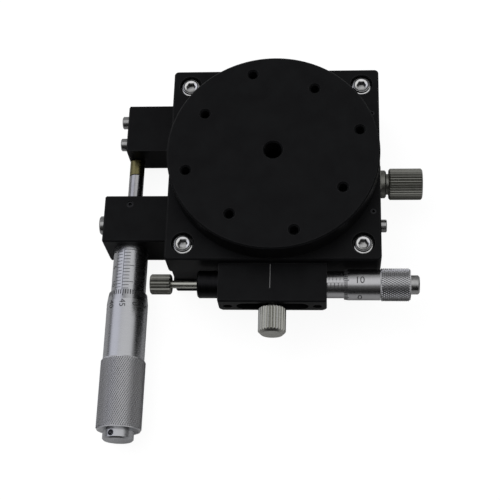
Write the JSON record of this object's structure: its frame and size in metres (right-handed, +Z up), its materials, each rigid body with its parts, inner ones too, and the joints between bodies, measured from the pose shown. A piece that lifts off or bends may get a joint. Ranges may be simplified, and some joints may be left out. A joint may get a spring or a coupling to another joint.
{
  "type": "rotation stage",
  "caption": "Square manual rotation stage with a round tapped table, a tangent fine drive and clamp, on a linear slide driven by a side micrometer with a travel lock.",
  "frame": {"origin": "on the table's rotation axis in the base's bottom mounting face", "axes": "+Z up along the table's axis, +Y along the linear travel away from the fine rotation block, +X to the right with the large micrometer on the -X side"},
  "size_m": [0.095, 0.1068, 0.0324],
  "materials": {
    "black_anodised": "black anodised, satin",
    "black_steel": "black oxide, satin",
    "hardened_steel": "ground",
    "spring_steel": "drawn wire and pins, satin",
    "screw_steel": "stainless, turned",
    "satin_chrome": "satin chrome plated",
    "knob_nickel": "nickel plated, knurled",
    "brass": "turned"
  },
  "bodies": {
    "base": {"base_plate": "black_anodised", "left_inner_rail": "hardened_steel", "right_inner_rail": "hardened_steel", "inner_rail_screws": "screw_steel", "fixed_spring_pin": "spring_steel", "return_spring": "spring_steel", "micrometer_bracket": "black_anodised", "bracket_screws": "screw_steel", "stem_lock_screw": "screw_steel", "bracket_set_screw": "screw_steel", "micrometer_sleeve": "satin_chrome", "lock_plate": "knob_nickel", "lock_bush": "knob_nickel", "lock_pad": "brass", "lock_plate_screw": "screw_steel", "lock_plate_dowel": "spring_steel"},
    "spindle_tip": {"spindle_tip": "brass"},
    "micrometer_thimble": {"spindle": "hardened_steel", "thimble": "satin_chrome", "thimble_grip": "satin_chrome", "thimble_cap": "satin_chrome"},
    "roller_cages": {"rail_rollers": "hardened_steel", "left_roller_cage": "brass", "right_roller_cage": "brass"},
    "carriage": {"moving_plate": "black_anodised", "left_outer_rail": "hardened_steel", "right_outer_rail": "hardened_steel", "outer_rail_screws": "screw_steel", "moving_spring_pin": "spring_steel", "travel_stop_pin": "spring_steel", "anvil_block": "black_anodised", "anvil_screws": "screw_steel", "rotation_body": "black_anodised", "body_screws": "screw_steel", "side_plugs": "screw_steel", "bearing_outer_ring": "hardened_steel", "fine_block": "black_anodised", "fine_block_screws": "screw_steel", "fine_block_set_screws": "screw_steel", "fine_sleeve": "satin_chrome", "plunger_bush": "black_steel", "plunger_spring": "spring_steel"},
    "fine_tip": {"fine_tip": "hardened_steel"},
    "fine_thimble": {"fine_spindle": "hardened_steel", "fine_thimble": "satin_chrome", "fine_grip": "satin_chrome", "fine_cap": "satin_chrome"},
    "plunger": {"plunger_pin": "hardened_steel", "plunger_knob": "knob_nickel"},
    "clamp_ring": {"clamp_ring": "black_anodised", "clamp_pad": "brass"},
    "clamp_knob": {"clamp_knob": "knob_nickel"},
    "turntable": {"turntable": "black_anodised", "hub": "black_anodised", "bearing_inner_ring": "hardened_steel", "retaining_ring": "black_anodised", "retaining_screws": "screw_steel"},
    "bearing_cage": {"bearing_cage": "brass", "bearing_rollers": "hardened_steel"},
    "lock_knob": {"lock_knob": "knob_nickel"}
  },
  "joints": [
    {"name": "linear_travel", "type": "slide", "parent": "base", "child": "carriage", "axis": [0, 1, 0], "range_m": [-0.0125, 0.0125], "deforming": ["return_spring"]},
    {"name": "spindle_advance", "type": "slide", "parent": "base", "child": "spindle_tip", "axis": [0, 1, 0], "range_m": [-0.0126, 0.0126]},
    {"name": "micrometer_turn", "type": "hinge", "parent": "spindle_tip", "child": "micrometer_thimble", "pos_m": [-0.0425, -0.05, 0.0075], "axis": [0, 1, 0], "range_deg": [-9060, 9060]},
    {"name": "cage_travel", "type": "slide", "parent": "base", "child": "roller_cages", "axis": [0, 1, 0], "range_m": [-0.0063, 0.0063]},
    {"name": "fine_advance", "type": "slide", "parent": "carriage", "child": "fine_tip", "axis": [-1, 0, 0], "range_m": [-0.0031, 0.0031]},
    {"name": "fine_turn", "type": "hinge", "parent": "fine_tip", "child": "fine_thimble", "pos_m": [0.03, -0.0349, 0.0185], "axis": [-1, 0, 0], "range_deg": [-2260, 2260]},
    {"name": "plunger_travel", "type": "slide", "parent": "carriage", "child": "plunger", "axis": [-1, 0, 0], "range_m": [-0.00315, 0.00315], "deforming": ["plunger_spring"]},
    {"name": "fine_rotation", "type": "hinge", "parent": "carriage", "child": "clamp_ring", "pos_m": [0, 0, 0.0185], "axis": [0, 0, 1], "range_deg": [-5.15, 5.15]},
    {"name": "clamp_turn", "type": "hinge", "parent": "clamp_ring", "child": "clamp_knob", "pos_m": [0, -0.046, 0.0185], "axis": [0, -1, 0], "range_deg": [0, 360]},
    {"name": "table_rotation", "type": "hinge", "parent": "clamp_ring", "child": "turntable", "pos_m": [0, 0, 0.029], "axis": [0, 0, 1], "continuous": true},
    {"name": "cage_rotation", "type": "hinge", "parent": "carriage", "child": "bearing_cage", "pos_m": [0, 0, 0.023], "axis": [0, 0, 1], "continuous": true},
    {"name": "lock_turn", "type": "hinge", "parent": "base", "child": "lock_knob", "pos_m": [0.038, -0.0006, 0.011], "axis": [1, 0, 0], "range_deg": [0, 360]}
  ],
  "couplings": [
    {"joint": "spindle_advance", "follows": "linear_travel", "ratio": 1},
    {"joint": "micrometer_turn", "follows": "linear_travel", "rad_per_m": 12566},
    {"joint": "cage_travel", "follows": "linear_travel", "ratio": 0.5},
    {"joint": "fine_turn", "follows": "fine_advance", "rad_per_m": 12566},
    {"joint": "plunger_travel", "follows": "fine_advance", "ratio": 1},
    {"joint": "fine_rotation", "follows": "fine_advance", "rad_per_m": -28.653},
    {"joint": "cage_rotation", "follows": "table_rotation", "ratio": 0.5}
  ]
}
